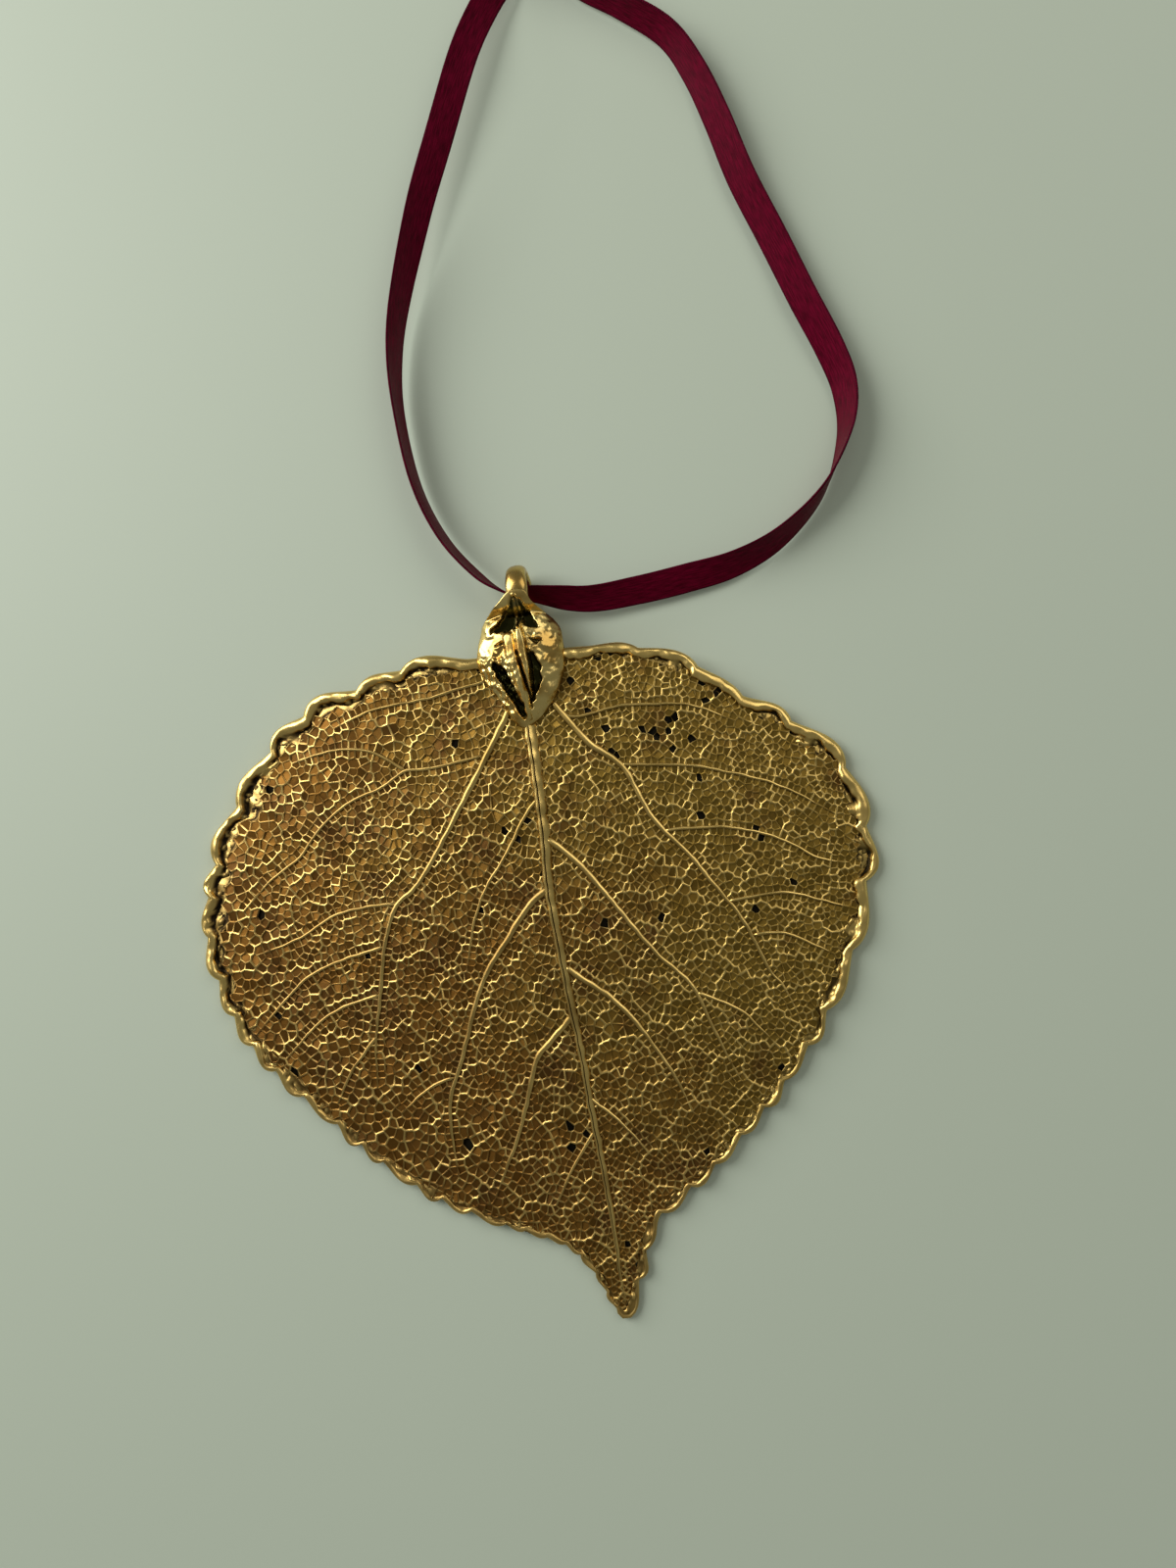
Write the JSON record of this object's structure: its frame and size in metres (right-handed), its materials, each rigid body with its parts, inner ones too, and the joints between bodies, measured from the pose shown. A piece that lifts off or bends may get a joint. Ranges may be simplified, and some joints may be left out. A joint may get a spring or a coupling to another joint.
{
  "type": "souvenir christmas ornament",
  "caption": "Gold-plated broad leaf with toothed rim and raised veins, held in a pinched cap with a strap loop and hung on a satin ribbon tied in a knot.",
  "frame": {"origin": "under the middle of the leaf and cap, on the surface the ornament lies on", "axes": "+Z out of the face of the leaf, +Y from the drip tip to the hanging loop, +X to the right when the face is seen with the loop up"},
  "size_m": [0.0758, 0.1546, 0.0052],
  "materials": {
    "plated_leaf": "gold plate over a copper-plated leaf, bright on ribs and rim, brown in the cells",
    "plated_cap": "bright gold plate, smooth to lumpy",
    "satin_ribbon": "burgundy satin with woven edges"
  },
  "bodies": {
    "ornament": {"leaf_blade": "plated_leaf", "leaf_stalk": "plated_leaf", "cap_front": "plated_cap", "cap_back": "plated_cap", "cap_loop": "plated_cap", "solder_left": "plated_cap", "solder_right": "plated_cap"},
    "ribbon": {"ribbon_in_loop": "satin_ribbon", "ribbon_left_leg": "satin_ribbon", "ribbon_right_leg": "satin_ribbon", "ribbon_knot": "satin_ribbon", "ribbon_tail_left": "satin_ribbon", "ribbon_tail_right": "satin_ribbon"}
  },
  "joints": [
    {"name": "ribbon_swing", "type": "hinge", "parent": "ornament", "child": "ribbon", "pos_m": [0.0036, 0.03588, 0.0026], "axis": [1, 0, 0], "range_deg": [0, 160]}
  ]
}
